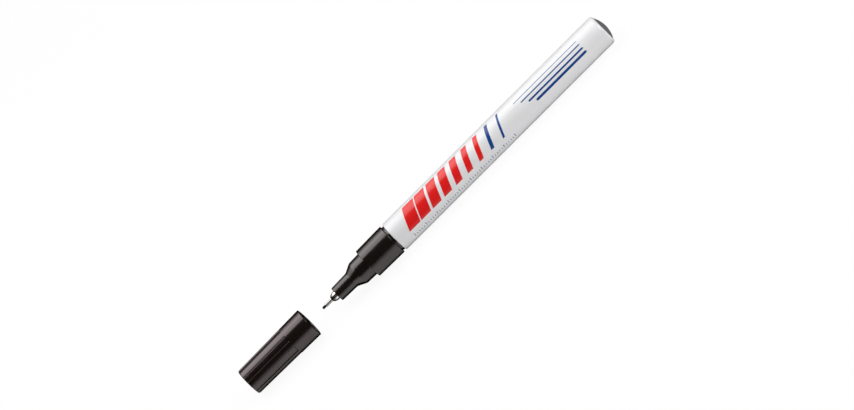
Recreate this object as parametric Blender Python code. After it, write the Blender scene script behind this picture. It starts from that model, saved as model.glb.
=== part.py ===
"""A valve-action permanent marker with its cap pulled off, lying on its side.

Units are metres and +Z is up. The marker's axis runs along X, with the tip towards -X. Places along the
axis are measured from the barrel's mouth, and grow towards the barrel's closed end.
"""

import math
from collections import namedtuple

import bmesh
import bpy

MM = 0.001
ON_AXIS = (0.0, 0.0, 0.0)
Look = namedtuple("Look", "colour roughness metallic")

# Barrel
BARREL_DIAMETER = 11.2 * MM
BARREL_LENGTH = 95.4 * MM
BARREL_WALL = 0.5 * MM
BARREL_CORNER_RADIUS = 0.8 * MM
BARREL_MOUTH_RADIUS = 0.3 * MM
DOME_RIM_WIDTH = 0.3 * MM
DOME_HEIGHT = 1.3 * MM

# Front section, outside
RING_LENGTH = 0.96 * MM
RING_TAPER = 0.18 * MM
COLLAR_LENGTH = 11.04 * MM
COLLAR_PROUD = 0.05 * MM
COLLAR_TAPER = 0.15 * MM
COLLAR_CHAMFER = 0.2 * MM
CAP_SHOULDER = 1.05 * MM
NECK_LENGTH = 4.3 * MM
NECK_TAPER = 0.125 * MM
CONE_LENGTH = 3.05 * MM
NOSE_LENGTH = 6.6 * MM
NOSE_DIAMETER = 5.3 * MM
NOSE_TAPER = 0.175 * MM
NOSE_EDGE_RADIUS = 0.25 * MM
PLUG_LENGTH = 8.0 * MM
PLUG_LEAD = 0.3 * MM

# Front section, inside
LIP_LENGTH = 0.8 * MM
LIP_LEDGE = 0.3 * MM
CHAMBER_INSET = 0.3 * MM
CHAMBER_DIAMETER = 5.5 * MM
SEAT_INSET = 2.0 * MM

# Tip
NIB_DIAMETER = 0.8 * MM
NIB_EXPOSED = 1.3 * MM
TUBE_WALL = 0.15 * MM
TUBE_EXPOSED = 2.8 * MM
FERRULE_DIAMETER = 3.1 * MM
FERRULE_EXPOSED = 2.3 * MM
FERRULE_DOME_LENGTH = 1.6 * MM
FERRULE_LAND = 0.1 * MM
SHANK_DIAMETER = 2.4 * MM
SHANK_LENGTH = 3.6 * MM
HOLDER_END_WALL = 1.0 * MM
FLANGE_LENGTH = 1.0 * MM
FEED_WINDOW_WIDTH = 0.8 * MM
FEED_WINDOW_LENGTH = 3.0 * MM
WICK_ROOM = 1.0 * MM

# Valve
VALVE_DIAMETER = 6.4 * MM
VALVE_TRAVEL = 1.5 * MM
SEAT_THICKNESS = 2.2 * MM
SEAT_BORE = 2.4 * MM
SEAT_CONE_WIDTH = 0.8 * MM
SEAT_CONE_DEPTH = 0.8 * MM
PIN_DIAMETER = 1.5 * MM
HEAD_RIM = 0.1 * MM
HEAD_LENGTH = 1.4 * MM
TAIL_DIAMETER = 2.0 * MM
TAIL_ENTRY = 0.5 * MM
CAGE_WALL = 0.6 * MM
CAGE_FLOOR = 2.2 * MM
CAGE_WINDOW_WIDTH = 1.8 * MM
CAGE_WINDOW_LENGTH = 1.6 * MM
CAGE_WINDOW_SILL = 0.3 * MM
SPRING_DIAMETER = 3.75 * MM
SPRING_WIRE = 0.45 * MM
SPRING_TURNS = 6

# Seal and ball
SEAL_CORD = 0.6 * MM
SEAL_PLACE = 3.4 * MM  # before the plug's inner end
BALL_DIAMETER = 6.0 * MM
BALL_PLACE = 45.0 * MM

# Cap
CAP_OFF_GAP = 6.2 * MM
CAP_WALL = 0.8 * MM
CAP_TAPER = 0.4 * MM
CAP_FLOOR = 1.2 * MM
CAP_TIP_ROOM = 4.65 * MM
CAP_CORNER_RADIUS = 0.4 * MM
CAP_LIP_RADIUS = 0.25 * MM
CAP_PLAIN_RING = 8.4 * MM
RECESS_COUNT = 7
RECESS_WIDTH = math.radians(26.0)
RECESS_FIRST = math.radians(-45.2)
RECESS_DEPTH = 0.25 * MM
INNER_CAP_WALL = 0.6 * MM
INNER_CAP_FLOOR = 1.3 * MM

# Clearances
PRESS_GAP = 0.05 * MM
RUN_GAP = 0.15 * MM
END_GAP = 0.1 * MM
STOP_GAP = 0.4 * MM
SEATED_CAP_GAP = 0.2 * MM
CUT_MARGIN = 1.0 * MM

# Facets
SIDES = 32
INNER_SIDES = 16
ARC_STEPS = 3
DOME_STEPS = 4
RECESS_STEPS = 4
SEAL_STEPS = 8
BALL_RINGS = 10
TURN_POINTS = 10
MERGE = 0.001 * MM
SMOOTH_ANGLE = math.radians(35.0)

# Looks: linear red, green and blue, then roughness and metallic
WHITE_LACQUER = Look((0.84, 0.84, 0.83), 0.25, 0.0)
BLACK_PLASTIC = Look((0.012, 0.012, 0.013), 0.32, 0.0)
GREY_PLASTIC = Look((0.10, 0.10, 0.105), 0.45, 0.0)
WHITE_PLASTIC = Look((0.72, 0.72, 0.70), 0.45, 0.0)
BRIGHT_METAL = Look((0.78, 0.78, 0.76), 0.15, 1.0)
STEEL = Look((0.55, 0.55, 0.56), 0.25, 1.0)
BLACK_RUBBER = Look((0.02, 0.02, 0.02), 0.7, 0.0)
INKED_FIBRE = Look((0.03, 0.03, 0.035), 0.8, 0.0)

# Radii that follow from the sizes above
barrel_radius = BARREL_DIAMETER / 2
barrel_bore = barrel_radius - BARREL_WALL
dome_radius = barrel_radius - BARREL_CORNER_RADIUS - DOME_RIM_WIDTH
plug_radius = barrel_bore - PRESS_GAP
collar_rear_radius = barrel_radius + COLLAR_PROUD
collar_front_radius = collar_rear_radius - COLLAR_TAPER
neck_rear_radius = collar_front_radius - CAP_SHOULDER
neck_front_radius = neck_rear_radius - NECK_TAPER
nose_front_radius = NOSE_DIAMETER / 2
nose_rear_radius = nose_front_radius + NOSE_TAPER
seal_radius = barrel_bore - PRESS_GAP - SEAL_CORD / 2
groove_radius = seal_radius - SEAL_CORD / 2 - PRESS_GAP
nib_radius = NIB_DIAMETER / 2
nib_bore = nib_radius + PRESS_GAP
tube_radius = nib_bore + TUBE_WALL
ferrule_bore = tube_radius + PRESS_GAP
ferrule_radius = FERRULE_DIAMETER / 2
shank_radius = SHANK_DIAMETER / 2
lip_bore = ferrule_radius + RUN_GAP
nose_bore = lip_bore + LIP_LEDGE
holder_radius = nose_bore - RUN_GAP
chamber_bore = CHAMBER_DIAMETER / 2
valve_radius = VALVE_DIAMETER / 2
valve_bore = valve_radius + PRESS_GAP
cage_bore = valve_radius - CAGE_WALL
seat_bore = SEAT_BORE / 2
seat_mouth = seat_bore + SEAT_CONE_WIDTH
tail_radius = TAIL_DIAMETER / 2
ball_radius = BALL_DIAMETER / 2
cap_bore = neck_rear_radius + RUN_GAP
cap_mouth_radius = cap_bore + CAP_WALL
cap_end_radius = cap_mouth_radius - CAP_TAPER
inner_cap_bore = nose_rear_radius + RUN_GAP
inner_cap_radius = inner_cap_bore + INNER_CAP_WALL
liner_bore = inner_cap_radius + PRESS_GAP

# Places along the axis that follow from the sizes above
collar_rear = -RING_LENGTH
collar_front = collar_rear - COLLAR_LENGTH
neck_front = collar_front - NECK_LENGTH
nose_rear = neck_front - CONE_LENGTH
nose_front = nose_rear - NOSE_LENGTH
ferrule_front = nose_front - FERRULE_EXPOSED
tube_front = ferrule_front - TUBE_EXPOSED
nib_front = tube_front - NIB_EXPOSED
lip_rear = nose_front + LIP_LENGTH
chamber_front = neck_front + CHAMBER_INSET
seat_shoulder = -SEAT_INSET
seat_front = seat_shoulder + END_GAP
seat_rear = seat_front + SEAT_THICKNESS
seal_middle = PLUG_LENGTH - SEAL_PLACE
seal_front = seal_middle - SEAL_CORD / 2 - END_GAP
seal_rear = seal_middle + SEAL_CORD / 2 + END_GAP
holder_front = lip_rear + END_GAP
holder_rear = seat_front - VALVE_TRAVEL - STOP_GAP
flange_front = holder_rear - FLANGE_LENGTH
shank_front = holder_front - END_GAP
shank_rear = shank_front + SHANK_LENGTH
wick_front = chamber_front + END_GAP
wick_rear = flange_front - WICK_ROOM
nib_rear = holder_rear - HOLDER_END_WALL - END_GAP
cage_front = seat_rear + END_GAP
window_front = PLUG_LENGTH + CAGE_WINDOW_SILL
cage_floor = window_front + CAGE_WINDOW_LENGTH + CAGE_WINDOW_SILL
cage_rear = cage_floor + CAGE_FLOOR
head_face = seat_rear + END_GAP
head_rear = head_face + HEAD_LENGTH
tail_rear = cage_floor + TAIL_ENTRY
dome_base = BARREL_LENGTH - DOME_HEIGHT
cap_mouth = nib_front - CAP_OFF_GAP
seated_cap_mouth = collar_front - SEATED_CAP_GAP
cap_shift = cap_mouth - seated_cap_mouth
inner_cap_mouth = nose_rear - END_GAP + cap_shift
inner_cap_floor = nib_front - CAP_TIP_ROOM + cap_shift
inner_cap_end = inner_cap_floor - INNER_CAP_FLOOR
cap_floor = inner_cap_end - END_GAP
cap_end = cap_floor - CAP_FLOOR
recess_front = cap_mouth - CAP_PLAIN_RING
axis_height = max(collar_rear_radius, barrel_radius, cap_mouth_radius) * math.cos(math.pi / SIDES)
barrel_mouth_x = -(BARREL_LENGTH + cap_end) / 2


def clear_scene():
    """Remove every object, so that the model starts from nothing."""
    for old in list(bpy.data.objects):
        bpy.data.objects.remove(old, do_unlink=True)


def arc(centre, radius, start_degrees, end_degrees, steps=ARC_STEPS):
    """Return outline points on an arc; 0 degrees points along the axis and 90 degrees outwards."""
    points = []
    for step in range(steps + 1):
        angle = math.radians(start_degrees + (end_degrees - start_degrees) * step / steps)
        points.append((centre[0] + radius * math.cos(angle), centre[1] + radius * math.sin(angle)))
    return points


def dome(base, base_radius, height):
    """Return outline points of a shallow dome, from its rim to its top on the axis."""
    sphere = (base_radius ** 2 + height ** 2) / (2 * height)
    rim_angle = math.degrees(math.asin(base_radius / sphere))
    return arc((base + height - sphere, 0.0), sphere, rim_angle, 0.0, DOME_STEPS)


def empty(name, parent, place):
    """Add an empty that carries other objects."""
    carrier = bpy.data.objects.new(name, None)
    carrier.parent = parent
    carrier.location = place
    bpy.context.collection.objects.link(carrier)
    return carrier


def finish(piece, look):
    """Give a piece its own material."""
    material = bpy.data.materials.new(piece.name)
    material.use_nodes = True
    shader = material.node_tree.nodes["Principled BSDF"]
    shader.inputs["Base Color"].default_value = (*look.colour, 1.0)
    shader.inputs["Roughness"].default_value = look.roughness
    shader.inputs["Metallic"].default_value = look.metallic
    piece.data.materials.append(material)


def add_piece(name, data, parent, place):
    """Add a named object and hang it on its carrier."""
    piece = bpy.data.objects.new(name, data)
    piece.parent = parent
    piece.location = place
    bpy.context.collection.objects.link(piece)
    return piece


def add_shape(name, shape, parent, place):
    """Turn a bmesh into a named, smooth-shaded object."""
    bmesh.ops.recalc_face_normals(shape, faces=shape.faces)
    mesh = bpy.data.meshes.new(name)
    shape.to_mesh(mesh)
    shape.free()
    mesh.shade_smooth()
    mesh.set_sharp_from_angle(angle=SMOOTH_ANGLE)
    return add_piece(name, mesh, parent, place)


def turned(name, parent, outline, sides=SIDES):
    """Spin an outline of (place, radius) points about the axis, with a flat side facing down.

    The piece's origin is on the axis, at the outline's first place. An outline that starts and ends on
    the axis makes a solid or a cup; any other outline is closed to a ring.
    """
    start = outline[0][0]
    lean = math.pi / sides
    shape = bmesh.new()
    corners = [
        shape.verts.new((place - start, radius * math.sin(lean), radius * math.cos(lean)))
        for place, radius in outline
    ]
    edges = [shape.edges.new(pair) for pair in zip(corners, corners[1:])]
    if outline[0][1] > MERGE:
        edges.append(shape.edges.new((corners[-1], corners[0])))
    bmesh.ops.spin(shape, geom=corners + edges, cent=(0, 0, 0), axis=(1, 0, 0), angle=2 * math.pi,
                   steps=sides, use_merge=True)
    bmesh.ops.remove_doubles(shape, verts=shape.verts, dist=MERGE)
    return add_shape(name, shape, parent, (start, 0.0, 0.0))


def cut(piece, cutter):
    """Cut a hidden shape out of a piece."""
    cutter.hide_render = True
    cutter.display_type = "WIRE"
    modifier = piece.modifiers.new(cutter.name, "BOOLEAN")
    modifier.operation = "DIFFERENCE"
    modifier.solver = "EXACT"
    modifier.object = cutter


def slot_cutter(name, parent, front, length, width, reach, turn=0.0):
    """Add a box that cuts a slot right through a tube, sideways or turned about the axis."""
    shape = bmesh.new()
    bmesh.ops.create_cube(shape, size=1.0)
    bmesh.ops.scale(shape, vec=(length, reach, width), verts=shape.verts)
    cutter = add_shape(name, shape, parent, (front + length / 2, 0.0, 0.0))
    cutter.rotation_euler.x = turn
    return cutter


def make_barrel(marker):
    """Lacquered metal cup with a round mouth edge, a round rear corner and a shallow dome."""
    floor = dome_base - BARREL_WALL
    inside = list(reversed(dome(floor, dome_radius - BARREL_WALL, DOME_HEIGHT)))
    inside += [(floor, barrel_bore), (0.0, barrel_bore)]
    mouth_centre = (BARREL_MOUTH_RADIUS, barrel_radius - BARREL_MOUTH_RADIUS)
    corner_centre = (dome_base - BARREL_CORNER_RADIUS, barrel_radius - BARREL_CORNER_RADIUS)
    outside = arc(mouth_centre, BARREL_MOUTH_RADIUS, 180, 90)
    outside += arc(corner_centre, BARREL_CORNER_RADIUS, 90, 0)
    outside += dome(dome_base, dome_radius, DOME_HEIGHT)
    finish(turned("barrel", marker, inside + outside), WHITE_LACQUER)


def make_front_section(marker):
    """One moulding: nose, cone, neck, collar, ring and plug, bored for the tip and the valve."""
    nose_edge = (nose_front + NOSE_EDGE_RADIUS, nose_front_radius - NOSE_EDGE_RADIUS)
    outside = arc(nose_edge, NOSE_EDGE_RADIUS, 180, 90)
    outside += [
        (nose_rear, nose_rear_radius),
        (neck_front, neck_front_radius),
        (collar_front, neck_rear_radius),
        (collar_front, collar_front_radius - COLLAR_CHAMFER),
        (collar_front + COLLAR_CHAMFER, collar_front_radius),
        (collar_rear, collar_rear_radius),
        (collar_rear, plug_radius - RING_TAPER),
        (0.0, plug_radius),
        (seal_front, plug_radius),
        (seal_front, groove_radius),
        (seal_rear, groove_radius),
        (seal_rear, plug_radius),
        (PLUG_LENGTH - PLUG_LEAD, plug_radius),
        (PLUG_LENGTH, plug_radius - PLUG_LEAD),
    ]
    inside = [
        (PLUG_LENGTH, valve_bore),
        (seat_shoulder, valve_bore),
        (seat_shoulder, chamber_bore),
        (chamber_front, chamber_bore),
        (chamber_front, nose_bore),
        (lip_rear, nose_bore),
        (lip_rear, lip_bore),
        (nose_front, lip_bore),
    ]
    finish(turned("front_section", marker, outside + inside), BLACK_PLASTIC)


def make_barrel_seal(marker):
    """Seal ring in the plug's groove."""
    ring = arc((seal_middle, seal_radius), SEAL_CORD / 2, 0, 360, SEAL_STEPS)[:-1]
    finish(turned("barrel_seal", marker, ring), BLACK_RUBBER)


def make_valve_seat(marker):
    """Ring with a conical seat on its ink side."""
    ring = [
        (seat_front, valve_radius),
        (seat_rear, valve_radius),
        (seat_rear, seat_mouth),
        (seat_rear - SEAT_CONE_DEPTH, seat_bore),
        (seat_front, seat_bore),
    ]
    finish(turned("valve_seat", marker, ring, INNER_SIDES), WHITE_PLASTIC)


def make_valve_cage(marker):
    """Cup behind the seat, with a guide hole for the stem and four ink windows."""
    guide_bore = tail_radius + RUN_GAP
    ring = [
        (cage_front, valve_radius),
        (cage_rear, valve_radius),
        (cage_rear, guide_bore),
        (cage_floor, guide_bore),
        (cage_floor, cage_bore),
        (cage_front, cage_bore),
    ]
    cage = turned("valve_cage", marker, ring, INNER_SIDES)
    finish(cage, WHITE_PLASTIC)
    for side in range(2):
        cutter = slot_cutter(f"cage_window_{side}", marker, window_front, CAGE_WINDOW_LENGTH,
                             CAGE_WINDOW_WIDTH, VALVE_DIAMETER + CUT_MARGIN, side * math.pi / 2)
        cut(cage, cutter)


def make_valve_stem(carrier):
    """Plunger: a pin towards the tip, a conical head on the seat and a tail in the cage's guide."""
    pin_radius = PIN_DIAMETER / 2
    head_radius = seat_mouth + HEAD_RIM
    cone_front = head_face - SEAT_CONE_DEPTH
    pin_front = holder_rear + END_GAP
    outline = [
        (pin_front, 0.0),
        (pin_front, pin_radius),
        (cone_front, pin_radius),
        (cone_front, seat_bore),
        (head_face, seat_mouth),
        (head_face, head_radius),
        (head_rear, head_radius),
        (head_rear, tail_radius),
        (tail_rear, tail_radius),
        (tail_rear, 0.0),
    ]
    finish(turned("valve_stem", carrier, outline, INNER_SIDES), GREY_PLASTIC)


def make_valve_spring(marker):
    """Compression spring between the stem's head and the cage's floor, as one unbroken wire."""
    free_end = PRESS_GAP + SPRING_WIRE / 2
    rise = cage_floor - head_rear - 2 * free_end
    steps = SPRING_TURNS * TURN_POINTS
    points = []
    for step in range(steps + 1):
        angle = 2 * math.pi * step / TURN_POINTS
        across = SPRING_DIAMETER / 2 * math.sin(angle)
        up = SPRING_DIAMETER / 2 * math.cos(angle)
        points.append((free_end + rise * step / steps, across, up))
    least_gap = min(
        math.dist(point, other) - SPRING_WIRE
        for index, point in enumerate(points)
        for other in points[index + TURN_POINTS // 2:]
    )
    print(f"valve_spring: least gap to itself {least_gap / MM:.2f} mm")
    curve = bpy.data.curves.new("valve_spring", "CURVE")
    curve.dimensions = "3D"
    curve.bevel_depth = SPRING_WIRE / 2
    curve.bevel_resolution = 1
    curve.use_fill_caps = True
    wire = curve.splines.new("POLY")
    wire.points.add(steps)
    for spot, point in zip(wire.points, points):
        spot.co = (*point, 1.0)
    spring = add_piece("valve_spring", curve, marker, (head_rear, 0.0, 0.0))
    finish(spring, STEEL)


def make_ink_wick(marker):
    """Felt sleeve in the chamber, round the nib holder."""
    ring = [
        (wick_front, chamber_bore - PRESS_GAP),
        (wick_rear, chamber_bore - PRESS_GAP),
        (wick_rear, holder_radius + RUN_GAP),
        (wick_front, holder_radius + RUN_GAP),
    ]
    finish(turned("ink_wick", marker, ring, INNER_SIDES), INKED_FIBRE)


def make_nib_holder(carrier):
    """Sliding sleeve with a flange that pushes the valve stem, and windows that feed the nib."""
    shank_bore = shank_radius + PRESS_GAP
    bore_end = holder_rear - HOLDER_END_WALL
    flange_radius = chamber_bore - RUN_GAP
    outline = [
        (bore_end, 0.0),
        (bore_end, nib_bore),
        (shank_rear + END_GAP, nib_bore),
        (shank_rear + END_GAP, shank_bore),
        (holder_front, shank_bore),
        (holder_front, holder_radius),
        (flange_front, holder_radius),
        (flange_front, flange_radius),
        (holder_rear, flange_radius),
        (holder_rear, 0.0),
    ]
    holder = turned("nib_holder", carrier, outline, INNER_SIDES)
    finish(holder, WHITE_PLASTIC)
    window_start = (wick_front + wick_rear - FEED_WINDOW_LENGTH) / 2
    cutter = slot_cutter("feed_window", carrier, window_start, FEED_WINDOW_LENGTH, FEED_WINDOW_WIDTH,
                         2 * holder_radius + CUT_MARGIN)
    cut(holder, cutter)


def make_tip_ferrule(carrier):
    """Metal ferrule with a domed front and a shank in the holder."""
    land_radius = ferrule_bore + FERRULE_LAND
    drop = ferrule_radius - land_radius
    sweep = (FERRULE_DOME_LENGTH ** 2 + drop ** 2) / (2 * drop)
    dome_centre = (ferrule_front + FERRULE_DOME_LENGTH, ferrule_radius - sweep)
    land_angle = 90 + math.degrees(math.asin(FERRULE_DOME_LENGTH / sweep))
    ring = [(ferrule_front, ferrule_bore)]
    ring += arc(dome_centre, sweep, land_angle, 90, DOME_STEPS)
    ring += [
        (shank_front, ferrule_radius),
        (shank_front, shank_radius),
        (shank_rear, shank_radius),
        (shank_rear, ferrule_bore),
    ]
    finish(turned("tip_ferrule", carrier, ring, INNER_SIDES), BRIGHT_METAL)


def make_needle_tube(carrier):
    """Thin metal tube through the ferrule."""
    ring = [
        (tube_front, tube_radius),
        (shank_rear, tube_radius),
        (shank_rear, nib_bore),
        (tube_front, nib_bore),
    ]
    finish(turned("needle_tube", carrier, ring, INNER_SIDES), STEEL)


def make_nib_core(carrier):
    """Ink-soaked nib rod with a round point."""
    point = arc((nib_front + nib_radius, 0.0), nib_radius, 180, 90)
    outline = point + [(nib_rear, nib_radius), (nib_rear, 0.0)]
    finish(turned("nib_core", carrier, outline, INNER_SIDES), INKED_FIBRE)


def make_mixing_ball(carrier):
    """Loose steel ball on the floor of the barrel's bore, with its origin at its centre."""
    shape = bmesh.new()
    bmesh.ops.create_uvsphere(shape, u_segments=INNER_SIDES, v_segments=BALL_RINGS, radius=ball_radius)
    finish(add_shape("mixing_ball", shape, carrier, ON_AXIS), STEEL)


def recess_cutter(carrier):
    """Add the wedges that cut the lengthwise recesses, open at the cap's closed end."""
    taper = CAP_TAPER / (cap_mouth - cap_end)
    start = cap_end - CUT_MARGIN
    length = recess_front - start
    floor = cap_end_radius - taper * CUT_MARGIN - RECESS_DEPTH
    outside = floor + RECESS_DEPTH + CUT_MARGIN
    growth = (floor + taper * length) / floor
    shape = bmesh.new()
    for copy in range(RECESS_COUNT):
        middle = RECESS_FIRST + 2 * math.pi * copy / RECESS_COUNT
        angles = [middle + RECESS_WIDTH * (step / RECESS_STEPS - 0.5) for step in range(RECESS_STEPS + 1)]
        rim = [(floor, angle) for angle in angles] + [(outside, angle) for angle in reversed(angles)]
        corners = [shape.verts.new((0.0, r * math.sin(angle), r * math.cos(angle))) for r, angle in rim]
        face = shape.faces.new(corners)
        grown = bmesh.ops.extrude_face_region(shape, geom=[face], use_keep_orig=True)
        ends = [item for item in grown["geom"] if isinstance(item, bmesh.types.BMVert)]
        bmesh.ops.scale(shape, vec=(1.0, growth, growth), verts=ends)
        bmesh.ops.translate(shape, vec=(length, 0.0, 0.0), verts=ends)
    return add_shape("cap_recesses", shape, carrier, (start, 0.0, 0.0))


def make_cap_shell(carrier):
    """Tapered cap with a bore that goes over the neck, and shallow lengthwise recesses outside."""
    lip_centre = (cap_mouth - CAP_LIP_RADIUS, cap_mouth_radius - CAP_LIP_RADIUS)
    corner_centre = (cap_end + CAP_CORNER_RADIUS, cap_end_radius - CAP_CORNER_RADIUS)
    outline = [
        (cap_floor, 0.0),
        (cap_floor, liner_bore),
        (inner_cap_mouth, liner_bore),
        (inner_cap_mouth, cap_bore),
        (cap_mouth, cap_bore),
    ]
    outline += arc(lip_centre, CAP_LIP_RADIUS, 0, 90)
    outline += arc(corner_centre, CAP_CORNER_RADIUS, 90, 180)
    outline.append((cap_end, 0.0))
    shell = turned("cap_shell", carrier, outline)
    finish(shell, BLACK_PLASTIC)
    cut(shell, recess_cutter(carrier))


def make_inner_cap(carrier):
    """Liner cup in the cap that closes round the nose."""
    outline = [
        (inner_cap_floor, 0.0),
        (inner_cap_floor, inner_cap_bore),
        (inner_cap_mouth, inner_cap_bore),
        (inner_cap_mouth, inner_cap_radius),
        (inner_cap_end, inner_cap_radius),
        (inner_cap_end, 0.0),
    ]
    finish(turned("inner_cap", carrier, outline), GREY_PLASTIC)


def main():
    """Build every piece on the carrier that it moves with."""
    clear_scene()
    marker = empty("marker", None, (barrel_mouth_x, 0.0, axis_height))
    make_barrel(marker)
    make_front_section(marker)
    make_barrel_seal(marker)
    make_valve_seat(marker)
    make_valve_cage(marker)
    make_valve_spring(marker)
    make_ink_wick(marker)

    valve = empty("valve_carrier", marker, ON_AXIS)
    make_valve_stem(valve)

    tip = empty("tip_carrier", marker, ON_AXIS)
    make_nib_holder(tip)
    make_tip_ferrule(tip)
    make_needle_tube(tip)
    make_nib_core(tip)

    ball_drop = barrel_bore * math.cos(math.pi / SIDES) - ball_radius - PRESS_GAP
    make_mixing_ball(empty("ball_carrier", marker, (BALL_PLACE, 0.0, -ball_drop)))

    cap = empty("cap_carrier", marker, ON_AXIS)
    make_cap_shell(cap)
    make_inner_cap(cap)


main()
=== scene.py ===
"""Looks of a valve-action permanent marker that lies on its side with its cap off.

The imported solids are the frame. Each one is replaced by a finely turned mesh of the same size with a
procedural finish, on a pale floor under soft light. The marker's axis runs along X, from the tip to the
barrel's closed end, and +Z is up. Pieces and finishes are measured in millimetres, reliefs in micrometres
and the studio in metres.
"""

import logging
import math
from abc import ABC, abstractmethod
from collections.abc import Sequence
from dataclasses import dataclass
from enum import Enum
from functools import cache, reduce

import bmesh
import bpy
from mathutils import Matrix, Vector


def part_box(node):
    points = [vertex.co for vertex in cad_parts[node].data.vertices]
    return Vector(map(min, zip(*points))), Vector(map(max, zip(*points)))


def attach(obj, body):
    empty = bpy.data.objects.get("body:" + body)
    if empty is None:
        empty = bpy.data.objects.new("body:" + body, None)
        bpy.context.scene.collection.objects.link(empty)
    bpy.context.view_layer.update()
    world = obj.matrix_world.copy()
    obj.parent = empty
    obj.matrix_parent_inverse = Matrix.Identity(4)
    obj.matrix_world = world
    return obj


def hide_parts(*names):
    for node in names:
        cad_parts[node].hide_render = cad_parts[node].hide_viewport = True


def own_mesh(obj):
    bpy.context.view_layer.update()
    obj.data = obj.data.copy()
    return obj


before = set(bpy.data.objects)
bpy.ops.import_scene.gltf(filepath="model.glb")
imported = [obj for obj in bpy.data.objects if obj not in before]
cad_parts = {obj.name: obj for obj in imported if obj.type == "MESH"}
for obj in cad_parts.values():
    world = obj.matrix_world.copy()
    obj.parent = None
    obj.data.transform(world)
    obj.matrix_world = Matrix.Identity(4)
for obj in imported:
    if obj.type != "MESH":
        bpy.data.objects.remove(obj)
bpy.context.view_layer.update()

LOG = logging.getLogger("marker_looks")
MM = 0.001
VIEW_LIFT = math.radians(30.0)
ALONG_AXIS = (1.0, 0.0, 0.0)
WHITE = (1.0, 1.0, 1.0)

# Turned shapes: closest corners, steps of a rounding, guards of flat sides, and what counts as wall or edge
MERGE = 0.0001
EASE_STEPS = 5
GUARD = 0.12
GUARDED_LENGTH = 4 * GUARD
RADIAL_SHARE = 0.5
SHARP_ANGLE = math.radians(33.0)

# Nodes: the Mix node's sockets for colours, and the names of colour sockets in node groups
MIX_ENTRIES = (0, 6, 7)
MIX_RESULT = 2
COLOUR_SOCKETS = ("Color", "Aged", "Ink")
NOISE_ROUGHNESS = 0.55

Colour = tuple[float, float, float]


class Body(Enum):
    """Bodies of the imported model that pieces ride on."""

    MARKER = "marker_body"
    TIP = "tip"
    VALVE = "valve"
    BALL = "ball"
    CAP = "cap"


class Slot(Enum):
    """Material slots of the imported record."""

    LACQUER = "white_lacquer"
    BLACK_PLASTIC = "black_plastic"
    LINER_PLASTIC = "liner_plastic"
    WHITE_PLASTIC = "white_plastic"
    GREY_PLASTIC = "grey_plastic"
    BRIGHT_METAL = "bright_metal"
    TUBE_STEEL = "tube_steel"
    SPRING_STEEL = "spring_steel"
    RUBBER = "black_rubber"
    NIB_FIBRE = "nib_fibre"
    WICK_FELT = "wick_felt"


@dataclass(frozen=True)
class Span:
    """Room that a CAD node takes along and around the axis."""

    front: float
    rear: float
    radius: float
    height: float

    @classmethod
    def of(cls, node: str) -> "Span":
        """Measure a node's box in the frame.

        Args:
            node: Name of the CAD node.

        Returns:
            The node's ends, its half height and its middle's height.
        """
        low, high = (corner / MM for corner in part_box(node))
        return cls(low.x, high.x, (high.z - low.z) / 2, (high.z + low.z) / 2)


AXIS_HEIGHT = Span.of("barrel").height


@dataclass(frozen=True)
class Corner:
    """Corner of a turned outline; ease is how far its rounding reaches along both sides."""

    place: float
    radius: float
    ease: float = 0.0


class Outline(list[Corner]):
    """Outline of a turned piece, drawn from corner to corner; a step may ease the corner that it ends at."""

    def to(self, place: float, radius: float, ease: float = 0.0) -> "Outline":
        """Go straight to a place and a radius."""
        self.append(Corner(place, radius, ease))
        return self

    def along(self, place: float, ease: float = 0.0) -> "Outline":
        """Go along the axis to a place."""
        return self.to(place, self[-1].radius, ease)

    def out(self, radius: float, ease: float = 0.0) -> "Outline":
        """Go straight out or in to a radius."""
        return self.to(self[-1].place, radius, ease)


def arc(centre: tuple[float, float], reach: float, start: float, end: float, steps: int) -> list[Corner]:
    """Place outline corners on an arc.

    Args:
        centre: The arc's centre, as place and radius.
        reach: The arc's own radius.
        start: First angle in degrees; 0 points along the axis and 90 outwards.
        end: Last angle in degrees.
        steps: Number of straight pieces.

    Returns:
        The corners, from start to end.
    """
    corners = []
    for step in range(steps + 1):
        angle = math.radians(start + (end - start) * step / steps)
        corners.append(Corner(centre[0] + reach * math.cos(angle), centre[1] + reach * math.sin(angle)))
    return corners


def dome(base: float, rim: float, height: float, steps: int) -> list[Corner]:
    """Place outline corners on a shallow dome.

    Args:
        base: Place of the dome's rim.
        rim: Radius of the dome's rim.
        height: Rise of the dome over its rim.
        steps: Number of straight pieces.

    Returns:
        The corners, from the rim to the top on the axis.
    """
    sphere = (rim ** 2 + height ** 2) / (2 * height)
    lean = math.degrees(math.asin(rim / sphere))
    return arc((base + height - sphere, 0.0), sphere, lean, 0.0, steps)


def guard_long_sides(shape: bmesh.types.BMesh) -> None:
    """Split each long side of an outline close to its ends, so that it stays flat in smooth shading.

    Args:
        shape: The outline, before it is spun.
    """
    for side in list(shape.edges):
        length = side.calc_length()
        if length > GUARDED_LENGTH:
            far = side.verts[1]
            rest, _ = bmesh.utils.edge_split(side, side.verts[0], GUARD / length)
            longer = max((side, rest), key=lambda edge: edge.calc_length())
            bmesh.utils.edge_split(longer, far, GUARD / longer.calc_length())


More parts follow.
